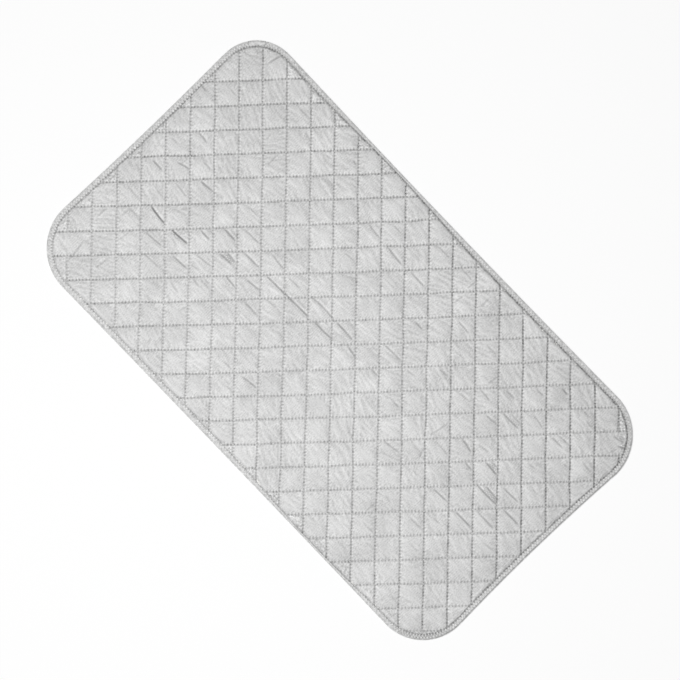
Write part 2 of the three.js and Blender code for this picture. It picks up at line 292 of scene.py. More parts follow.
def changed(tone, *changes):
    """A tone, made darker or lighter by a share where a mask is 1."""
    for mask, change in changes:
        tone = times(tone, times_plus(mask, change, 1.0))
    return tone


def soft_mask(value, low, high):
    """1 below the low value and 0 above the high one."""
    node = value.id_data.nodes.new("ShaderNodeMapRange")
    node.interpolation_type = "SMOOTHSTEP"
    joined(value, node.inputs["Value"])
    for label, number in zip(("From Min", "From Max", "To Min", "To Max"), (low, high, 1, 0)):
        node.inputs[label].default_value = number
    return node.outputs["Result"]


def noise(vector, scale, detail=2.0, roughness=0.5):
    node = vector.id_data.nodes.new("ShaderNodeTexNoise")
    joined(vector, node.inputs["Vector"])
    node.inputs["Scale"].default_value = scale
    node.inputs["Detail"].default_value = detail
    node.inputs["Roughness"].default_value = roughness
    return node.outputs["Fac"]


# Plain weave: yarns over and under each other, with slubs where the yarn is uneven
weave, weave_in, weave_out = new_group("plain_weave", ["Yarns"], ["Height", "Slub"])
weave_axes = weave.nodes.new("ShaderNodeSeparateXYZ")
joined(weave_in.outputs["Vector"], weave_axes.inputs[0])
yarn_waves = [maths("SINE", times(weave_axes.outputs[axis], weave_in.outputs["Yarns"])) for axis in "XY"]
joined(times_plus(*yarn_waves, 1.0), weave_out.inputs["Height"])
slub_threads = []
for stretch in ((30, 900, 300), (900, 30, 300)):
    slub_map = weave.nodes.new("ShaderNodeMapping")
    joined(weave_in.outputs["Vector"], slub_map.inputs["Vector"])
    slub_map.inputs["Scale"].default_value = stretch
    slub_threads.append(noise(slub_map.outputs[0], 1.0, 1.0))
joined(maths("ADD", *slub_threads), weave_out.inputs["Slub"])


def placed_group(group, vector, **values):
    node = vector.id_data.nodes.new("ShaderNodeGroup")
    node.node_tree = group
    for label, value in {"Vector": vector, **values}.items():
        joined(value, node.inputs[label])
    return node


def new_material(name, roughness=0.5, sheen=0.0):
    """A node material with its tree, its shader and the object's own coordinates."""
    material = bpy.data.materials.new(name)
    material.use_nodes = True
    tree = material.node_tree
    shader = tree.nodes["Principled BSDF"]
    shader.inputs["Roughness"].default_value = roughness
    shader.inputs["Sheen Weight"].default_value = sheen
    place = tree.nodes.new("ShaderNodeTexCoord").outputs["Object"]
    return material, tree, shader, place


def tinted(shader, tone, colour):
    """Base colour: the colour times a tone that changes over the surface."""
    node = shader.id_data.nodes.new("ShaderNodeVectorMath")
    node.operation = "SCALE"
    node.inputs["Vector"].default_value = colour
    joined(tone, node.inputs["Scale"])
    joined(node.outputs["Vector"], shader.inputs["Base Color"])


def bumped(shader, height, depth):
    node = shader.id_data.nodes.new("ShaderNodeBump")
    node.inputs["Strength"].default_value = 1.0
    node.inputs["Distance"].default_value = depth
    joined(height, node.inputs["Height"])
    joined(node.outputs["Normal"], shader.inputs["Normal"])


backing, u, v = quilted_web("backing", BACKING_STEPS)
points = points_of(backing)
x, y = points[:, 0], points[:, 1]
pressed = np.minimum(1, FLAT_MIDDLE * dome(u, v) * clear_of_binding(inset_from_edge(x, y)))
ripple = RIPPLE * (np.sin(520 * x + 2 * np.sin(90 * y)) + np.sin(470 * y + 2 * np.sin(80 * x)))
points[:, 2] = (BACKING_AT_SEAM + ripple) * (1 - pressed)
set_points(backing, points)
bpy.ops.object.mode_set(mode="EDIT")
bpy.ops.mesh.select_all(action="SELECT")
bpy.ops.mesh.flip_normals()  # its outer face looks down
bpy.ops.object.mode_set(mode="OBJECT")

cotton, tree, shader, place = new_material("backing_cotton", 0.9, 0.15)
cloth = placed_group(weave, place, Yarns=2 * math.pi / BACKING_YARN)
tone = times_plus(cloth.outputs["Slub"], 0.25, 0.75)
tinted(shader, tone, (0.69, 0.685, 0.67))
bumped(shader, cloth.outputs["Height"], 0.00008)
backing.data.materials.append(cotton)
finished(backing, "backing", "backing_fabric")

# Wadding: soft white polyester fleece between the webs, pinched thin by every seam and full between.
# It is cut with the webs and has a hollow on its lower side over each corner magnet.
WADDING_STEPS = 8
WADDING_LOW, WADDING_HIGH = 0.0021, 0.0027  # at a seam
WADDING_CROWN, WADDING_SINK = 0.0012, 0.0016  # how far it rises and sinks between the seams
WADDING_LEAST = 0.0003  # thickness over a magnet
MAGNET_TOP = 0.00282
MAGNET_HOLLOW, HOLLOW_EASE = 0.014, 0.004  # radius, and the slope round it
NARROW_STRETCHES = ((1, -0.125, 0.19, 0.0044), (-1, 0.19, 0.20, 0.0050))  # of the tape


def inset_from_tape(x, y):
    """The inset from the edge, with more added where less of the binding is turned over on the cover:
    on the +Y or -Y side, round a middle, over a half length, by an amount."""
    inset = inset_from_edge(x, y)
    for side, middle, half_length, amount in NARROW_STRETCHES:
        near_middle = np.clip(1 - ((x - middle) / half_length) ** 2, 0, 1) ** 2
        inset = inset + amount * near_middle * (y * side > 0)
    return inset


wadding, u, v = quilted_web("wadding_fleece", WADDING_STEPS)
shell = wadding.modifiers.new("fleece", "SOLIDIFY")
shell.thickness = 0.001
shell.offset = 0
bpy.ops.object.modifier_apply(modifier=shell.name)
points = points_of(wadding)
u, v = np.tile(u, 2), np.tile(v, 2)
x, y = points[:, 0], points[:, 1]
full = dome(u, v) * clear_of_binding(inset_from_edge(x, y))
low = WADDING_LOW - WADDING_SINK * np.minimum(1, 1.15 * full)
for corner in range(1, 5):
    lowest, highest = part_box(f"corner_magnet_{corner}")
    from_magnet = np.hypot(x - (lowest.x + highest.x) / 2, y - (lowest.y + highest.y) / 2)
    hollow = smooth_step(-from_magnet, -MAGNET_HOLLOW - HOLLOW_EASE, -MAGNET_HOLLOW)
    low = np.maximum(low, hollow * MAGNET_TOP + (1 - hollow) * low)
high = WADDING_HIGH + WADDING_CROWN * dome(u, v) * clear_of_binding(inset_from_tape(x, y))
points[:, 2] = np.where(points[:, 2] > 0, np.maximum(high, low + WADDING_LEAST), low)
set_points(wadding, points)
face_outward()

fleece, tree, shader, place = new_material("polyester_fleece", 0.95, 0.3)
tufts = noise(place, 900.0, 4.0, 0.7)
tinted(shader, times_plus(tufts, 0.3, 0.82), (0.86, 0.855, 0.83))
bumped(shader, tufts, 0.0004)
wadding.data.materials.append(fleece)
finished(wadding, "wadding", "wadding")

# Corner magnets: four flat discs of nickel-plated steel, loose in a diamond near each corner, that
# hold the pad on a washing machine or dryer. The CAD discs are kept.
nickel, tree, shader, place = new_material("magnet_nickel")
plating = noise(place, 600.0, 3.0, 0.6)
tinted(shader, times_plus(plating, 0.4, 0.8), (0.42, 0.41, 0.39))
joined(times_plus(noise(place, 220.0, 3.0), 0.25, 0.22), shader.inputs["Roughness"])
shader.inputs["Metallic"].default_value = 1.0
for corner in range(1, 5):
    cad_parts[f"corner_magnet_{corner}"].material_slots[0].material = nickel

# Cover: a grey cotton weave with a silvery heat-reflecting coat, cut a little larger than the pad and
# gathered on to the seams. The slack between the seams puffs up over the wadding and creases,
# mostly along the pad. Its cut edge ends inside the fold of the binding.
COVER_STEPS = 16
COVER_AT_SEAM = 0.0032
COVER_CROWN = 0.0021  # highest rise between the seams
COVER_CLEAR = 0.00015  # least space over the wadding
COVER_YARN = 0.0008
SLACK_X, SLACK_Y = 0.003, 0.017  # share by which the cut is larger
SLACK_WAVES, SLACK_WAVE, SLACK_SHARE = 7, (0.05, 0.14), 0.004  # the cut is uneven in long waves
SLACK_BAND = ((-0.29, -0.067), (0.02, 0.002))  # where it has most to spare
BAND_SLACK, BAND_WIDTH, BAND_FADE = 0.0007, 0.03, (0.08, 0.10)
START_RISE, START_GRAIN = 0.0012, 2e-5  # of the cloth before it is gathered
GATHER_FRAMES, SETTLE_FRAMES = 6, 15
UNSEWN = (("a", -11, -5, -4), ("a", 12, 4, 5), ("b", -12, -6, -1))  # seam, from and to
PICTURE_POINTS = 680  # along each side of the picture
PICTURE_TURN = math.radians(46.2)  # of the pad in the picture
PICTURE_MIDDLE = (-0.0015, 0.0020)
PICTURE_WIDTH = 1.0047  # of the table, in metres
CREASES = (  # sharp folds, as they lie in the picture: start, end and depth in tenths
    (151, 206, 165, 224, 15), (171, 229, 188, 244, 15), (152, 159, 163, 171, 8), (178, 162, 190, 169, 8),
    (201, 181, 214, 192, 9), (214, 192, 223, 199, 3), (175, 182, 187, 197, 5), (127, 185, 140, 199, 4),
    (128, 207, 139, 217, 5), (200, 229, 210, 240, 8), (209, 229, 214, 234, 6), (224, 228, 236, 241, 9),
    (146, 232, 162, 246, 5), (172, 255, 188, 269, 7), (197, 255, 211, 266, 6), (220, 253, 232, 264, 9),
    (191, 264, 199, 270, 4), (145, 254, 159, 267, 4), (120, 256, 128, 263, 3), (106, 208, 97, 217, 4),
    (130, 208, 121, 217, 3), (84, 241, 67, 262, 5), (130, 231, 118, 240, 3), (108, 258, 95, 268, 4),
    (199, 132, 207, 142, 6), (172, 137, 178, 144, 4), (104, 189, 110, 194, 3), (152, 182, 160, 194, 3),
    (172, 238, 177, 246, 4), (193, 278, 199, 287, 4), (226, 276, 236, 288, 8), (170, 280, 178, 293, 4),
    (203, 277, 210, 285, 3), (203, 161, 213, 171, 4), (200, 83, 207, 92, 6), (246, 183, 252, 190, 4),
    (248, 205, 258, 216, 4), (267, 64, 283, 54, 6), (299, 108, 310, 118, 5), (234, 131, 238, 136, 6),
    (305, 132, 310, 139, 5), (277, 155, 268, 165, 4), (271, 134, 266, 140, 3), (325, 154, 333, 160, 5),
    (353, 159, 357, 166, 6), (327, 178, 334, 186, 5), (306, 177, 310, 183, 5), (350, 182, 357, 188, 3),
    (230, 88, 236, 95, 3), (369, 224, 380, 238, 6), (394, 225, 402, 234, 5), (388, 247, 402, 265, 7),
    (344, 252, 355, 261, 4), (411, 272, 425, 287, 6), (437, 245, 450, 258, 5), (463, 270, 472, 279, 5),
    (477, 280, 468, 288, 5), (464, 295, 454, 303, 5), (490, 298, 480, 308, 4), (415, 321, 424, 331, 7),
    (436, 320, 428, 326, 3), (459, 322, 469, 333, 6), (337, 322, 353, 340, 9), (385, 345, 402, 361, 6),
    (348, 346, 356, 358, 8), (372, 369, 379, 377, 7), (440, 369, 449, 377, 6), (406, 369, 415, 376, 4),
    (345, 300, 353, 306, 3), (487, 345, 497, 355, 4), (497, 377, 488, 384, 4), (480, 389, 490, 400, 6),
    (460, 393, 471, 403, 4), (506, 390, 515, 399, 5), (536, 388, 545, 397, 4), (562, 388, 568, 395, 9),
    (486, 415, 497, 424, 6), (504, 414, 519, 429, 8), (512, 415, 520, 423, 4), (534, 415, 543, 428, 5),
    (583, 410, 591, 418, 6), (586, 420, 592, 428, 5), (463, 439, 472, 453, 8), (552, 437, 563, 448, 5),
    (560, 436, 568, 444, 6), (478, 444, 490, 453, 5), (465, 462, 472, 470, 8), (486, 462, 497, 475, 10),
    (492, 462, 498, 468, 7), (478, 486, 497, 505, 9), (486, 486, 498, 500, 8), (504, 488, 519, 503, 7),
    (434, 489, 448, 502, 7), (455, 511, 471, 527, 8), (504, 510, 519, 525, 8), (478, 512, 494, 529, 6),
    (563, 463, 568, 468, 6), (583, 462, 590, 471, 5), (528, 463, 537, 470, 4), (448, 423, 431, 435, 4),
    (393, 401, 400, 408, 6), (384, 441, 400, 453, 5), (436, 441, 448, 455, 4), (424, 448, 419, 459, 5),
    (361, 425, 373, 436, 3), (413, 469, 418, 477, 5), (385, 494, 391, 503, 3), (367, 510, 376, 502, 5),
    (363, 522, 375, 534, 3), (410, 517, 421, 529, 4), (484, 543, 494, 551, 4), (433, 517, 440, 524, 4),
    (340, 520, 350, 529, 3), (246, 279, 261, 291, 7), (267, 276, 308, 316, 9), (314, 321, 333, 340, 8),
    (287, 276, 300, 288, 5), (313, 297, 336, 321, 7), (245, 302, 258, 315, 5), (270, 302, 283, 315, 4),
    (242, 376, 257, 388, 7), (277, 373, 282, 377, 6), (186, 380, 191, 374, 5), (223, 361, 232, 369, 4),
    (226, 385, 233, 392, 3), (250, 327, 258, 337, 3), (151, 338, 148, 345, 4), (186, 307, 179, 311, 4),
    (614, 436, 625, 444, 6), (618, 446, 626, 449, 10), (619, 405, 620, 433, 4), (602, 428, 612, 438, 3),
    (609, 453, 617, 449, 4), (620, 434, 626, 443, 6), (245, 229, 259, 243, 5), (227, 252, 236, 263, 8),
    (244, 252, 260, 268, 7), (272, 254, 285, 270, 5),
)
CREASE_DEPTH, CREASE_WIDTH, CREASE_BOW = 0.0008, 0.0021, 0.1
CREASE_FADE = (-0.002, 0.005)  # along it, past and before its ends
CREASE_REACH = (0.0027, 0.0041)  # across it, where its mark fades
OFF_CREASE = 0.006  # a point this far away is on no crease
RIDGE_SHARE, RIDGE_OFFSET, RIDGE_WIDTH = 0.6, 0.004, 0.0022  # the cloth pushed up beside a crease
EDGE_BAND = 0.016  # the part of the cover that the tape's stitching can mark
WRINKLE_GAIN = 1.8
# a hollow this deep gets the full painted shade of the fold value
FOLD_DEPTH = 0.00012
ZIGZAG = 0.0049  # one zigzag of the stitching that holds the binding
STATIONS = 4  # along one zigzag
LAP_MIDDLE = (-0.4047, 0.2184)  # where the binding laps over itself


def sewn(family, seam, along):
    """False on the few stretches near the corners that the seams leave out."""
    kept = np.ones(np.shape(along), bool)
    for unsewn_family, number, start, end in UNSEWN:
        if family == unsewn_family:
            kept &= ~((np.round(seam) == number) & (along > start) & (along < end))
    return kept


def smoothed(piece, values, rounds, held):
    """Values per point, evened out with the neighbours' except where they are held."""
    ends = read(piece.data.edges, "vertices", 2, int)
    first, last = ends.T
    count = len(values)
    neighbours = np.bincount(ends.ravel(), minlength=count)
    for _ in range(rounds):
        total = np.bincount(first, values[last], count) + np.bincount(last, values[first], count)
        values = np.where(held, values, (values + total / neighbours) / 2)
    return values


def set_values(piece, name, values):
    """A point attribute that a material can read."""
    attribute = piece.data.attributes.new(name, "FLOAT", "POINT")
    attribute.data.foreach_set("value", np.asarray(values, np.float32))


cover, u, v = quilted_web("cover", COVER_STEPS)
points = points_of(cover)
x, y = points[:, 0], points[:, 1]
on_a = (np.abs(u - np.round(u)) < 1e-6) & sewn("a", u, v)
on_b = (np.abs(v - np.round(v)) < 1e-6) & sewn("b", v, u)
tape_inset = inset_from_tape(x, y)
held = on_a | on_b | (tape_inset < BINDING_HOLD)
full = dome(u, v) * clear_of_binding(tape_inset)
grain = np.random.default_rng(5)
start_rise = START_RISE * full + grain.normal(0, START_GRAIN, len(full))
points[:, 2] = COVER_AT_SEAM + np.where(held, 0, start_rise)

slack = np.zeros_like(x)
for _ in range(SLACK_WAVES):
    wave = grain.uniform(*SLACK_WAVE)
    turn = grain.uniform(0, 2 * math.pi)
    start = grain.uniform(0, 2 * math.pi)
    across = (x * math.cos(turn) + y * math.sin(turn)) * 2 * math.pi / wave
    slack += np.sin(across + start) * wave / (2 * math.pi) * SLACK_SHARE
cut = points.copy()
cut[:, 0] *= 1 + SLACK_X
(band_x, band_y), (end_x, end_y) = SLACK_BAND
band = band_y + (x - band_x) * (end_y - band_y) / (end_x - band_x)
in_band = smooth_step(x, band_x - BAND_FADE[0], band_x)
in_band *= smooth_step(-x, -end_x - BAND_FADE[1], -end_x)
slack += BAND_SLACK * in_band * np.tanh((y - band) / BAND_WIDTH)
cut[:, 1] = cut[:, 1] * (1 + SLACK_Y) + slack
scene = bpy.context.scene
set_points(cover, cut)
cover.shape_key_add(name="cut")
gathered = cover.shape_key_add(name="gathered")
gathered.data.foreach_set("co", points.astype(np.float32).ravel())
gathered.value = 0
gathered.keyframe_insert("value", frame=1)
gathered.value = 1
gathered.keyframe_insert("value", frame=GATHER_FRAMES)
stitched = cover.vertex_groups.new(name="stitched")
stitched.add(np.flatnonzero(held).tolist(), 1.0, "REPLACE")
sim = cover.modifiers.new("cloth", "CLOTH")
sim.settings.quality = 4
sim.settings.mass = 0.001
sim.settings.tension_stiffness = sim.settings.compression_stiffness = 15
sim.settings.shear_stiffness = 5
sim.settings.bending_stiffness = 0.1
sim.settings.use_pressure = True
sim.settings.uniform_pressure_force = 26
sim.settings.effector_weights.gravity = 0
sim.settings.vertex_group_mass = stitched.name
sim.collision_settings.use_collision = False
for number in range(1, SETTLE_FRAMES + 1):
    scene.frame_set(number)
settled = cover.evaluated_get(bpy.context.evaluated_depsgraph_get()).data
result = read(settled.vertices, "co", 3)
cover.modifiers.remove(sim)
cover.shape_key_clear()
cover.animation_data_clear()
scene.frame_set(1)
even = smoothed(cover, result[:, 2], 30, held)
rise = even + WRINKLE_GAIN * (result[:, 2] - even) - COVER_AT_SEAM
result[:, 2] = COVER_AT_SEAM + np.where(rise > 0, COVER_CROWN * np.tanh(rise / COVER_CROWN), rise)
result[:, 2] = np.maximum(result[:, 2], WADDING_HIGH + WADDING_CROWN * full + COVER_CLEAR)
points = result


def picture_point(across, down):
    """The point of the pad that lies at a point of the picture."""
    step, middle = PICTURE_WIDTH / PICTURE_POINTS, PICTURE_POINTS / 2
    right, low = (across - middle) * step, (down - middle) * step
    turned_x = right * math.cos(PICTURE_TURN) + low * math.sin(PICTURE_TURN)
    turned_y = right * math.sin(PICTURE_TURN) - low * math.cos(PICTURE_TURN)
    return np.array([PICTURE_MIDDLE[0] + turned_x, PICTURE_MIDDLE[1] + turned_y])


def edge_shade(x, out_x, out_y):
    """How dark the fold along the binding lies: least on the side towards the lamp."""
    return 0.55 + 0.24 * out_y + 0.3 * x * np.abs(out_y) + 0.05 * out_x - 0.03 * np.abs(out_x)


def edge_ring():
    """Points round the pad's edge at even steps, with the way out at each, from the lap on."""
    ring = []
    for (side_x, side_y), turn in zip(((1, 1), (-1, 1), (-1, -1), (1, -1)), (0, 90, 180, 270)):
        radius = CORNER_RADII[side_x, side_y]
        middle_x, middle_y = side_x * (PAD_LENGTH / 2 - radius), side_y * (PAD_WIDTH / 2 - radius)
        for step in np.linspace(0, 90, 91):
            angle = math.radians(turn + step)
            ring.append((middle_x + radius * math.cos(angle), middle_y + radius * math.sin(angle)))
    ring.append(ring[0])
    ring = np.array(ring)

    def run_along(points):
        return np.concatenate([[0], np.cumsum(np.linalg.norm(np.diff(points, axis=0), axis=1))])

    def resampled(points, count):
        run = run_along(points)
        wanted = np.linspace(0, run[-1], count + 1)
        return np.stack([np.interp(wanted, run, points[:, axis]) for axis in (0, 1)], 1)

    ring = resampled(ring, 4000)
    pull_x, pull_y = draw_in_factors(ring[:, 0], ring[:, 1])
    ring = np.stack([ring[:, 0] * pull_x, ring[:, 1] * pull_y], 1)
    length = run_along(ring)[-1]
    periods = round(length / ZIGZAG)
    ring = resampled(ring, periods * STATIONS)[:-1]
    first = np.argmin(np.hypot(ring[:, 0] - LAP_MIDDLE[0], ring[:, 1] - LAP_MIDDLE[1]))
    ring = np.roll(ring, -first, axis=0)
    ahead = np.roll(ring, -1, axis=0) - np.roll(ring, 1, axis=0)
    ahead /= np.linalg.norm(ahead, axis=1, keepdims=True)
    return ring, np.stack([ahead[:, 1], -ahead[:, 0]], 1), periods, length


ring, way_out, periods, edge_length = edge_ring()
near_rim = KDTree(len(ring))
for number, point in enumerate(ring):
    near_rim.insert((*point, 0), number)
near_rim.balance()
edge_run = np.zeros(len(x))
for number in np.flatnonzero(inset_from_edge(x, y) < EDGE_BAND):
    station = near_rim.find((x[number], y[number], 0))[1]
    ahead = (-way_out[station, 1], way_out[station, 0])
    past = (x[number] - ring[station, 0]) * ahead[0] + (y[number] - ring[station, 1]) * ahead[1]
    edge_run[number] = station * edge_length / len(ring) + past

off_crease, crease_depth = np.full(len(x), OFF_CREASE), np.zeros(len(x))
bows = np.random.default_rng(3).uniform(-CREASE_BOW, CREASE_BOW, len(CREASES))
for (*ends, depth), bow in zip(CREASES, bows):
    start, end = picture_point(*ends[:2]), picture_point(*ends[2:])
    length = np.linalg.norm(end - start)
    ahead = (end - start) / length
    ahead = ahead if ahead[0] > 0 else -ahead
    middle = (start + end) / 2
    from_middle = (points[:, 0] - middle[0]) * ahead[0] + (points[:, 1] - middle[1]) * ahead[1]
    off = (points[:, 1] - middle[1]) * ahead[0] - (points[:, 0] - middle[0]) * ahead[1]
    off = off + bow * (from_middle**2 / length - length / 12)
    within = smooth_step(length / 2 - np.abs(from_middle), *CREASE_FADE)
    nearer = (np.abs(off) < np.abs(off_crease)) & (within > 0)
    off_crease[nearer], crease_depth[nearer] = off[nearer], within[nearer] * depth / 10
crease_depth *= smooth_step(-np.abs(off_crease), -CREASE_REACH[1], -CREASE_REACH[0])
clear = smooth_step(dome(u, v), 0.0, 0.35) * clear_of_binding(tape_inset)
groove = np.exp(-((off_crease / CREASE_WIDTH) ** 2))
groove -= RIDGE_SHARE * np.exp(-(((off_crease - RIDGE_OFFSET) / RIDGE_WIDTH) ** 2))
points[:, 2] -= CREASE_DEPTH * clear * crease_depth * groove
points[:, 2] = np.maximum(points[:, 2], WADDING_HIGH + WADDING_CROWN * full + COVER_CLEAR)
set_points(cover, points)

out_x, out_y = outward(x, y)
# The fold value paints shade into the cloth's hollows and a painted highlight on its bumps
valley = smoothed(cover, points[:, 2], 2, held) - points[:, 2]
to_end, to_side = 2.5 * x / PAD_LENGTH, 2.5 * y / PAD_WIDTH
to_rim = np.minimum(1.3, np.maximum(to_end**2, to_side**2))
seam_marking_a = 0.95 + 0.36 * to_end + 0.28 * to_side + 0.32 * to_rim  # how strongly each seam is marked across the pad, in painted shade and in depth
seam_marking_b = 0.73 - 0.26 * to_end + 0.08 * to_side + 0.30 * to_rim
middle_x, middle_y = quilt_point(np.floor(u) + 0.5, np.floor(v) + 0.5)
beside_tape = smooth_step(-inset_from_tape(middle_x, middle_y), -0.012, 0.002)
for name, values in (
    ("off_crease", off_crease * 1000), ("crease", crease_depth),
    ("fold", np.clip(valley / FOLD_DEPTH, -1, 1)),
    ("inset", tape_inset * 1000), ("edge_run", edge_run * 1000),
    ("shaded", edge_shade(x, out_x, out_y) * (0.45 + 0.55 * np.minimum(1, 1.6 * dome(u, v)))),
    ("needle_mark_shading", 0.35 + np.where(out_x > 0, 0.65, -0.35) * out_x),
    ("sewn_a", sewn("a", u, v) * seam_marking_a), ("sewn_b", sewn("b", v, u) * seam_marking_b),
    ("crumpled", beside_tape * smooth_step(tape_inset, 0.007, 0.010)),
):
    set_values(cover, name, values)

# Seam marks: masks for the groove of each seam, deepest at the needle holes, and for the puckers that run
# from the holes up the side of the diamond that faces the lamp. The cover bumps with them and paints shade
# with them
DIAMOND_SIDE = 35.5  # in millimetres, like all distances in the marks
STITCHES = 7.25  # along one side of a diamond
SEAM_SHIFT = 0.37  # of a stitch, from each seam to the next
HOLE_OFFSET = {"a": 0.5, "b": 0.0}
marks, marks_in, marks_out = new_group("seam_marks", ["Sewn A", "Sewn B"], ["Groove", "Pucker"])
marks_axes = marks.nodes.new("ShaderNodeSeparateXYZ")
quilt = marks_in.outputs["Vector"]
joined(quilt, marks_axes.inputs[0])
uneven = times(noise(quilt, 4.0), 2.0)
wander = times_plus(noise(quilt, 5.0), 0.6, -0.3)
closed = maths("SUBTRACT", noise(quilt, 2.3), 0.5)
grooves, puckers = [], []
for across, along, first_hole, family, width, lit_side, between, at_holes in (
    ("X", "Y", HOLE_OFFSET["a"], "Sewn A", 1.6, 1.8, 0.56, 0.26),
    ("Y", "X", HOLE_OFFSET["b"], "Sewn B", 1.85, -1.8, 0.42, 0.40),
):
    seam = maths("ROUND", marks_axes.outputs[across])
    off_seam = times(maths("SUBTRACT", marks_axes.outputs[across], seam), DIAMOND_SIDE)
    shift = maths("ADD", times_plus(seam, SEAM_SHIFT, first_hole), wander)
    count = times_plus(marks_axes.outputs[along], STITCHES, shift)
    off_hole = times(maths("PINGPONG", count, 0.5), DIAMOND_SIDE / STITCHES)
    is_sewn = maths("GREATER_THAN", marks_in.outputs[family], 0.2)
    at_hole = times(soft_mask(off_hole, 0.3, 1.9), is_sewn)
    deep = times(marks_in.outputs[family], maths("ADD", closed, between))
    deep = times_plus(at_hole, times_plus(closed, -0.6, at_holes), deep)
    in_groove = soft_mask(maths("ABSOLUTE", off_seam), 0.4, width)
    grooves.append(times(times(in_groove, deep), uneven))
    # Painted shade at the holes and painted highlight on the bulges between them, only on the side that
    # faces the lamp
    beside = apart(off_seam, lit_side)
    drawn = times_plus(is_sewn, -0.45, at_hole)  # less than 0 where it bulges
    puckers.append(times(soft_mask(beside, 0.6, 2.6), drawn))
deepest = maths("MINIMUM", maths("MAXIMUM", *grooves), 1.4)
joined(deepest, marks_out.inputs["Groove"])
joined(maths("ADD", *puckers), marks_out.inputs["Pucker"])


def point_value(tree, name):
    node = tree.nodes.new("ShaderNodeAttribute")
    node.attribute_name = name
    return node.outputs["Fac"]


silver, tree, shader, place = new_material("silvered_cotton")
seam_map = tree.nodes.new("ShaderNodeUVMap")
seam_map.uv_map = "quilt"
sewing = {"Sewn A": point_value(tree, "sewn_a"), "Sewn B": point_value(tree, "sewn_b")}
stitch_marks = placed_group(marks, seam_map.outputs["UV"], **sewing)
# The groove mask paints shade into each seam's groove and needle holes, and also dents the bump
seam_groove_shade, pucker_shading = stitch_marks.outputs["Groove"], stitch_marks.outputs["Pucker"]
# Painted shade along each listed crease and a painted highlight on the ridge beside it; the mesh has the
# crease's groove too
off_fold, depth = point_value(tree, "off_crease"), point_value(tree, "crease")
crease_shade_line = times(soft_mask(apart(off_fold, -0.3), 0.4, 2.1), depth)
crease_highlight_line = times(soft_mask(apart(off_fold, 2.8), 0.4, 2.0), depth)
# Painted shade in the crevice along the binding's inner edge, strongest on the sides turned away from the
# lamp
tuck_inset = times_plus(noise(place, 130.0), 4.0, 6.7)
off_tuck = apart(point_value(tree, "inset"), tuck_inset)
tuck_shade = times(soft_mask(off_tuck, 0.5, 2.8), point_value(tree, "shaded"))
tuck_shade = times(tuck_shade, times_plus(noise(place, 230.0), 2.4, -0.3))
# Painted shade in the needle dimples that the binding's stitching leaves in the cover, stronger on some
# sides; the same mask dents the bump
zigzags = times_plus(point_value(tree, "edge_run"), periods / edge_length / 1000, 0.5)
off_needle = times(maths("PINGPONG", zigzags, 0.5), 1000 * edge_length / periods)
dimple_shade = soft_mask(distance(off_needle, off_tuck), 0.5, 2.0)
dimple_shade = times(dimple_shade, point_value(tree, "needle_mark_shading"))
dimple_shade = times(dimple_shade, times_plus(noise(place, 150.0), 2.6, -0.3))
cloth = placed_group(weave, place, Yarns=2 * math.pi / COVER_YARN)
slubs = noise(place, 430.0, 2.0, 0.6)
along_pad = tree.nodes.new("ShaderNodeMapping")
joined(place, along_pad.inputs["Vector"])
along_pad.inputs["Scale"].default_value = (70, 300, 100)
# Painted shade and highlight of small crumples in the cover next to the binding, along with their bump
crumple_shading = times_plus(noise(place, 340.0, 1.0), 2.0, -1.0)
crumple_shading = times(crumple_shading, point_value(tree, "crumpled"))
# Random tone of the coat, with painted shade and highlight from the fold value
tone = layered(
    0.2, (noise(place, 70.0, 4.0, 0.6), 0.15), (noise(place, 19.0), 0.42),
    (noise(along_pad.outputs[0], 1.0), 0.27), (slubs, 0.65), (crumple_shading, 0.75),
    (cloth.outputs["Slub"], 0.04), (point_value(tree, "fold"), -0.1),
)
tone = changed(
    tone, (seam_groove_shade, -0.64), (pucker_shading, -0.2), (crease_shade_line, -0.4), (crease_highlight_line, 0.1), (tuck_shade, -0.66),
    (dimple_shade, -0.32),
)
tinted(shader, tone, (0.570, 0.570, 0.568))
height = layered(
    0.0, (seam_groove_shade, -0.35), (cloth.outputs["Height"], 0.02), (slubs, 0.15), (crease_shade_line, -0.3),
    (pucker_shading, -0.25), (crumple_shading, 0.5), (dimple_shade, -0.3),
)
bumped(shader, height, 0.001)
rough = times_plus(noise(place, 140.0, 3.0), 0.2, 0.5)
joined(rough, shader.inputs["Roughness"])
shader.inputs["Metallic"].default_value = 0.12
cover.data.materials.append(silver)
finished(cover, "cover", "cover_fabric")

# Quilting seams: lockstitch through the three webs, about 5 mm a stitch, with a needle thread on the
# cover and a bobbin thread on the backing. Each family of seams is a piece of its own.
THREAD = 0.0005
SEAM_MARGIN = 0.004  # the seams end this far from the pad's edge


def stitch_shape(sides, ease):
    """One stitch from X 0 to X 1: up out of a needle hole, along the cloth and down the next."""
    bpy.ops.object.select_all(action="DESELECT")
    bpy.ops.mesh.primitive_circle_add(
        vertices=sides, radius=0.5, fill_type="NGON", rotation=(0, math.pi / 2, 0), location=(0, 0, -0.5)
    )
    stitch = bpy.context.object
    bpy.ops.object.transform_apply()
    bpy.ops.object.mode_set(mode="EDIT")
    bpy.ops.mesh.select_all(action="SELECT")
    for run, rise in ((ease, 0.8), (1 - 2 * ease, 0.0), (ease, -0.8)):
        bpy.ops.mesh.extrude_region_move(TRANSFORM_OT_translate={"value": (run, 0, rise)})
    face_outward()
    shape = points_of(stitch), [tuple(face.vertices) for face in stitch.data.polygons]
    bpy.data.objects.remove(stitch)
    return shape


def new_piece(name, points, corners):
    """An active piece from its points and faces."""
    mesh = bpy.data.meshes.new(name)
    mesh.from_pydata(points, [], corners)
    mesh.validate()
    piece = bpy.data.objects.new(name, mesh)
    bpy.context.scene.collection.objects.link(piece)
    bpy.ops.object.select_all(action="DESELECT")
    piece.select_set(True)
    bpy.context.view_layer.objects.active = piece
    return piece


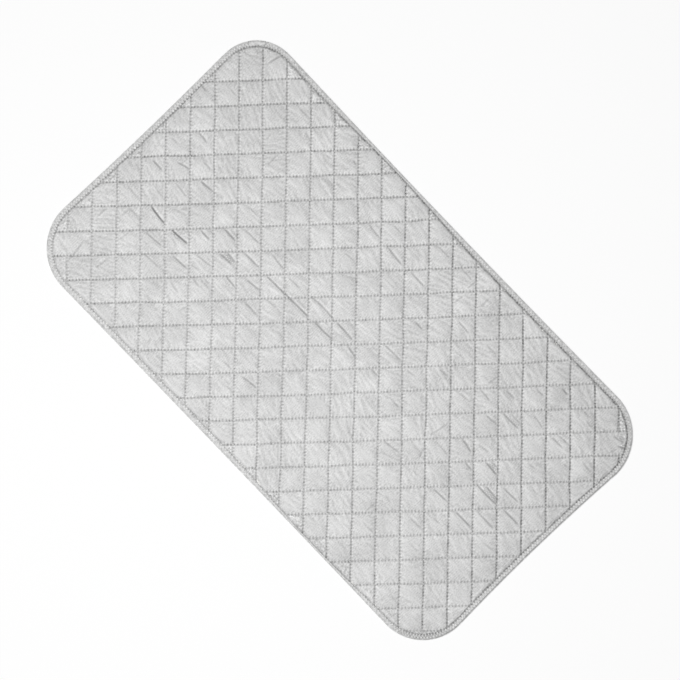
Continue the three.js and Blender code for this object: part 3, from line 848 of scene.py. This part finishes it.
def sewn_row(name, starts, ends, up, thread, shape, material):
    """Copies of one stitch, each from its own start to its own end, as one piece."""
    template, faces = shape
    run = ends - starts
    length = np.linalg.norm(run, axis=1, keepdims=True)
    side = np.cross(up, run / length)
    points = (
        starts[:, None]
        + template[None, :, :1] * run[:, None]
        + thread * template[None, :, 1:2] * side[:, None]
        + thread * template[None, :, 2:] * up[:, None]
    )
    corners = [
        tuple(index + row * len(template) for index in face) for row in range(len(starts)) for face in faces
    ]
    piece = new_piece(name, points.reshape(-1, 3), corners)
    bpy.ops.object.shade_smooth()
    piece.data.materials.append(material)
    return piece


def seam_holes(family):
    """Needle holes from one to the next along every seam of a family, as two rows of points."""
    numbers = np.arange(-SEAM_REACH, SEAM_REACH + 1)
    most = int(SEAM_REACH * STITCHES) - 1
    seam, hole = (grid.ravel() for grid in np.meshgrid(numbers, np.arange(-most, most), indexing="ij"))
    along = (hole - (HOLE_OFFSET[family] + SEAM_SHIFT * seam) % 1) / STITCHES
    ends = []
    for step in (0, 1):
        place_on = along + step / STITCHES
        here, there = (seam, place_on) if family == "a" else (place_on, seam)
        ends.append(np.stack(quilt_point(here.astype(float), there.astype(float)), 1))
    keep = sewn(family, seam, along + 0.5 / STITCHES)
    for end in ends:
        keep &= inset_from_edge(end[:, 0], end[:, 1]) > SEAM_MARGIN
    return [end[keep] for end in ends]


def thread_material(name, colour):
    material, tree, shader, place = new_material(name, 0.6, 0.2)
    twist = noise(place, 2500.0)
    tinted(shader, times_plus(twist, 0.3, 0.85), colour)
    bumped(shader, twist, 0.0001)
    return material


# The needle thread is paler than the bobbin thread: partly the thread's own colour and partly a painted
# highlight
needle_thread = thread_material("needle_thread", (0.83, 0.83, 0.825))
bobbin_thread = thread_material("bobbin_thread", (0.78, 0.775, 0.76))
quilting_stitch = stitch_shape(5, 0.25)
for family in ("a", "b"):
    first, last = seam_holes(family)
    for side, height, material in (
        ("needle", COVER_AT_SEAM, needle_thread), ("bobbin", BACKING_AT_SEAM, bobbin_thread)
    ):
        up = np.tile([0.0, 0.0, 1.0 if side == "needle" else -1.0], (len(first), 1))
        starts, ends = (np.column_stack([end, np.full(len(end), height)]) for end in (first, last))
        name = f"quilting_{side}_stitches_{family}"
        row = sewn_row(name, starts, ends, up, THREAD, quilting_stitch, material)
        finished(row, "quilting_thread", f"quilting_{side}_thread_{family}")

# Edge binding: one length of grey woven tape, folded over the cut edge of the webs all the way round
# and lapped over itself at one corner. Its inner edge is pulled into scallops by the stitching.
TAPE_THICKNESS = 0.0006
LAP_LENGTH = 0.026
TAPE_SECTION = (  # inset and height of the outer face, from the lower inner edge round the fold
    (8.6, 0.10), (7.4, 0.02), (6.2, 0.06), (4.6, 0.0), (2.6, 0.0), (1.2, 0.22), (0.45, 0.85), (0.08, 1.7),
    (0.0, 2.5), (0.12, 3.3), (0.55, 4.05), (1.3, 4.55), (2.4, 4.78), (3.6, 4.78), (4.8, 4.62),
    (5.8, 4.46), (6.8, 4.34), (7.7, 4.22), (8.2, 4.05),
)
TAPE_YARN = 0.0009
TOP_START = 9  # where the section has turned over on to the cover
ROLL = 0.001  # the outermost part, which is as wide all the way round
ROLL_LINE = 0.0021  # inset of the painted shade line along it
ZIG_INSETS = (0.0040, 0.0074)
SCALLOP, SCALLOP_RISE = 0.0006, 0.00016
WAVER, SWAY = 0.0003, 0.0001  # how far the inner edge strays, and the top rises and falls
LAP_RISE, LAP_SPREAD = 0.0003, 0.0002

count = len(ring)
run = np.arange(count) / count * edge_length
zigzag = 2 * math.pi * run * periods / edge_length
outer = np.array(TAPE_SECTION) / 1000
slope = np.gradient(outer, axis=0)
slope /= np.linalg.norm(slope, axis=1, keepdims=True)
inner = outer + TAPE_THICKNESS * np.stack([slope[:, 1], -slope[:, 0]], 1)
section = np.concatenate([outer, inner[::-1]])
width_at = np.concatenate([[0], np.cumsum(np.linalg.norm(np.diff(section, axis=0), axis=1))])

inset = np.tile(section[:, 0], (count, 1))
rise = np.tile(section[:, 1], (count, 1))
on_cover = np.zeros(len(section))
on_cover[TOP_START : 2 * len(outer) - TOP_START] = 1
full_turn = outer[-1, 0] - ROLL
not_turned = inset_from_tape(*ring.T) - inset_from_edge(*ring.T)
turned_over = 1 - not_turned / full_turn
narrowed = 1 - on_cover * (1 - turned_over[:, None])
inset = np.where(inset > ROLL, ROLL + (inset - ROLL) * narrowed, inset)
near_edge = smooth_step(section[:, 0], 0.0052, 0.0079)
on_top = smooth_step(section[:, 1], 0.003, 0.004)
scallop = SCALLOP * np.cos(zigzag) + WAVER * np.sin(run * 61 + 1.3 * np.sin(run * 23))
inset += near_edge * scallop[:, None] * narrowed
rise += near_edge * on_top * (SCALLOP_RISE * np.cos(zigzag))[:, None]
sway = np.sin(run * 37 + 2 * np.sin(run * 9)) + 0.6 * np.sin(run * 83 + np.sin(run * 31))
rise += on_top * (SWAY * sway)[:, None]
from_lap = np.minimum(run, edge_length - run)
lapped = (from_lap < LAP_LENGTH / 2)[:, None]
rise += lapped * on_top * LAP_RISE
inset -= lapped * (1 - near_edge) * LAP_SPREAD
xy = ring[:, None, :] - inset[:, :, None] * way_out[:, None, :]
points = np.concatenate([xy, np.maximum(rise, 0.0)[:, :, None]], 2).reshape(-1, 3)
per_ring = len(section)
corners = []
for station in range(count):
    here, there = station * per_ring, (station + 1) % count * per_ring
    for index in range(per_ring):
        after = (index + 1) % per_ring
        corners.append((here + index, there + index, there + after, here + after))
binding = new_piece("binding", points, corners)
face_outward()
bpy.ops.object.shade_smooth_by_angle(angle=math.radians(50))
set_uv(binding, "tape", np.repeat(run, per_ring), np.tile(width_at, count))
tape_layer = binding.data.uv_layers["tape"]
pairs = read(tape_layer.data, "uv", 2).ravel()
closing = pairs[-8 * per_ring :: 2]  # the last faces run on to the full length
closing[closing < edge_length / 2] += edge_length
tape_layer.data.foreach_set("uv", pairs.astype(np.float32))

out_x, out_y = way_out.T
turned_away = np.maximum(out_y, 0)
hatched = np.maximum(0, -2 * out_x * out_y) * (out_x > 0)  # one corner was sewn tight
for name, values in (
    ("shaded", edge_shade(ring[:, 0], out_x, out_y)), ("turned_away", turned_away), ("hatched", hatched),
    ("needle_mark_shading", 0.5 + 0.5 * np.abs(out_x) + 0.6 * turned_away + 0.6 * hatched),
    ("creased", smooth_step(out_x, 0.4, 1.0)),
):
    set_values(binding, name, np.repeat(values, per_ring))

tape, tree, shader, place = new_material("binding_tape", 0.75, 0.1)
tape_map = tree.nodes.new("ShaderNodeUVMap")
tape_map.uv_map = "tape"
cloth = placed_group(weave, tape_map.outputs["UV"], Yarns=2 * math.pi / TAPE_YARN)
tape_axes = tree.nodes.new("ShaderNodeSeparateXYZ")
joined(tape_map.outputs["UV"], tape_axes.inputs[0])
along_tape, across_tape = tape_axes.outputs["X"], tape_axes.outputs["Y"]
off_lap = maths("PINGPONG", along_tape, edge_length / 2)
stitched_here = soft_mask(times(off_lap, -1.0), -LAP_LENGTH / 2 - 0.0004, -LAP_LENGTH / 2)
top_widths = width_at[TOP_START : len(outer)]
row_widths = np.interp(ZIG_INSETS, outer[TOP_START:, 0], top_widths)
# Painted shade in the zigzag's needle holes, stronger on the sides turned away from the lamp and at the
# tight corner
hole = 0.0
for row_width, shift, dark in zip(row_widths, (0.0, 0.5), (0.35, 1.0)):
    count_along = times_plus(along_tape, periods / edge_length, shift)
    off_along = times(maths("PINGPONG", count_along, 0.5), edge_length / periods)
    off_across = maths("SUBTRACT", across_tape, row_width)
    needle_hole = times(soft_mask(distance(off_along, off_across), 0.0005, 0.0014), dark)
    hole = maths("MAXIMUM", hole, needle_hole)
hole = times(times(hole, stitched_here), point_value(tree, "needle_mark_shading"))
# Painted shade in the dent that the zigzag thread presses into the tape; the same mask dents the bump
sweep = maths("PINGPONG", times(along_tape, periods / edge_length), 0.5)
zig_line = times_plus(sweep, 2 * float(row_widths[1] - row_widths[0]), float(row_widths[0]))
off_thread = apart(across_tape, zig_line)
dent_shade = times(soft_mask(off_thread, 0.0004, 0.0012), stitched_here)
tight = point_value(tree, "hatched")
dent_shade = times(dent_shade, times_plus(tight, 1.2, point_value(tree, "needle_mark_shading")))
off_edge = apart(across_tape, top_widths[-1])
near_inside = soft_mask(off_edge, 0.0, 0.0045)
inner_shade = times(near_inside, point_value(tree, "turned_away"))
# Painted shade line along the tape's inner edge, strongest on the shaded sides
edge_shade_line = times(soft_mask(off_edge, 0.0002, 0.0008), point_value(tree, "shaded"))
# Painted shade lines along the roll, and along a crease of the roll at the +X end
roll_width = float(np.interp(ROLL_LINE, outer[TOP_START:, 0], top_widths))
off_line = apart(across_tape, roll_width)
roll_shade_line = soft_mask(off_line, 0.0004, 0.0018)
outer_crease_shade = times(soft_mask(off_line, 0.0003, 0.0010), point_value(tree, "creased"))
lap_shade = soft_mask(apart(off_lap, LAP_LENGTH / 2), 0.0003, 0.0009)
tone = layered(
    0.19, (noise(place, 90.0, 4.0, 0.6), 0.2), (noise(place, 230.0), 1.15), (cloth.outputs["Slub"], 0.15)
)
tone = changed(
    tone, (hole, -0.6), (dent_shade, -0.3), (tight, -0.07), (edge_shade_line, -0.45), (inner_shade, -0.3),
    (outer_crease_shade, -0.4), (roll_shade_line, -0.16), (lap_shade, -0.35),
)
tinted(shader, tone, (0.70, 0.70, 0.697))
bumped(shader, layered(0.0, (hole, -0.5), (cloth.outputs["Height"], 0.06), (dent_shade, -0.3)), 0.001)
binding.data.materials.append(tape)
finished(binding, "binding", "edge_binding")

# Binding stitches: a zigzag through both legs of the tape, close to its inner edge, with a needle
# thread above and a bobbin thread below. The lap of the tape has none.
TAPE_THREAD = 0.0007
NEEDLE_HEIGHTS, BOBBIN_HEIGHTS = (0.00466, 0.00420), (0.0003, 0.0003)  # at the outer and inner holes
FLAT_THREAD = 0.3  # the table presses the bobbin thread flat
tape_stitch = stitch_shape(5, 0.12)
tape_thread = thread_material("tape_thread", (0.77, 0.77, 0.765))
half_stations = np.arange(0, count, STATIONS // 2)
open_tape = from_lap[half_stations] > LAP_LENGTH / 2
for side, heights, material in (
    ("needle", NEEDLE_HEIGHTS, tape_thread), ("bobbin", BOBBIN_HEIGHTS, bobbin_thread)
):
    turn = np.arange(len(half_stations)) % 2
    zig_inset, zig_height = np.take(ZIG_INSETS, turn), np.take(heights, turn)
    if side == "needle":
        zig_inset = ROLL + (zig_inset - ROLL) * turned_over[half_stations]
        zig_height = zig_height + SWAY * sway[half_stations]
    zig = ring[half_stations] - way_out[half_stations] * zig_inset[:, None]
    zig = np.column_stack([zig, zig_height])
    both = open_tape & np.roll(open_tape, -1)
    starts, ends = zig[both], np.roll(zig, -1, axis=0)[both]
    up = np.tile([0.0, 0.0, 1.0 if side == "needle" else FLAT_THREAD], (len(starts), 1))
    row = sewn_row(f"binding_{side}_stitches", starts, ends, up, TAPE_THREAD, tape_stitch, material)
    finished(row, "binding_thread", f"binding_{side}_thread")

# Floor, light and camera: a white table, one large soft lamp above the near long side, a pale room,
# and a camera straight above, turned so that the pad lies across the picture.
WHITE = (0.992, 0.992, 0.992, 1)
LAMP_AT = (-0.13, -0.42, 2.0)
LAMP_SIZE = 0.9
LAMP_POWER = 31.5
ROOM_LIGHT = 0.3
FLOOR_GLOW = 0.8
FLOOR_SIZE, FLOOR_DROP = 14, 0.0004
PAD_TOP = 0.004  # where the picture's width is measured

bpy.ops.object.select_all(action="DESELECT")
bpy.ops.mesh.primitive_plane_add(size=FLOOR_SIZE, location=(0, 0, -FLOOR_DROP))
floor = bpy.context.object
floor.name = "floor"
bpy.ops.object.transform_apply()


def seen_directly(tree):
    """1 for rays from the camera, off gloss and through glass, and 0 for light on a surface."""
    path = tree.nodes.new("ShaderNodeLightPath")
    rays = maths("MAXIMUM", path.outputs["Is Camera Ray"], path.outputs["Is Glossy Ray"])
    return maths("MAXIMUM", rays, path.outputs["Is Transmission Ray"])


white_table, tree, shader, place = new_material("white_table", 0.9)
shader.inputs["Base Color"].default_value = WHITE
glow = tree.nodes.new("ShaderNodeEmission")
glow.inputs["Color"].default_value = WHITE
blend = tree.nodes.new("ShaderNodeMixShader")
joined(times(seen_directly(tree), FLOOR_GLOW), blend.inputs[0])
joined(shader.outputs[0], blend.inputs[1])
joined(glow.outputs[0], blend.inputs[2])
joined(blend.outputs[0], tree.nodes["Material Output"].inputs["Surface"])
floor.data.materials.append(white_table)

world = bpy.data.worlds.new("pale_room")
world.use_nodes = True
bpy.context.scene.world = world
sky = world.node_tree.nodes["Background"]
sky.inputs["Color"].default_value = WHITE
level = times_plus(seen_directly(world.node_tree), 1 - ROOM_LIGHT, ROOM_LIGHT)
joined(level, sky.inputs["Strength"])


def stood(name, data, location, turn):
    stand = bpy.data.objects.new(name, data)
    bpy.context.scene.collection.objects.link(stand)
    stand.location, stand.rotation_euler = location, turn
    return stand


lamp = bpy.data.lights.new("soft_lamp", "AREA")
lamp.shape = "SQUARE"
lamp.size = LAMP_SIZE
lamp.energy = LAMP_POWER
lamp_turn = (math.atan2(-LAMP_AT[1], LAMP_AT[2]), math.atan2(LAMP_AT[0], LAMP_AT[2]), 0)
stood("soft_lamp", lamp, LAMP_AT, lamp_turn)

camera = bpy.data.cameras.new("camera")
camera.sensor_width, camera.lens = 36, 100
camera_at = (*PICTURE_MIDDLE, PAD_TOP + PICTURE_WIDTH * camera.lens / camera.sensor_width)
bpy.context.scene.camera = stood("camera", camera, camera_at, (0, 0, PICTURE_TURN))
bpy.context.scene.view_settings.view_transform = "Standard"
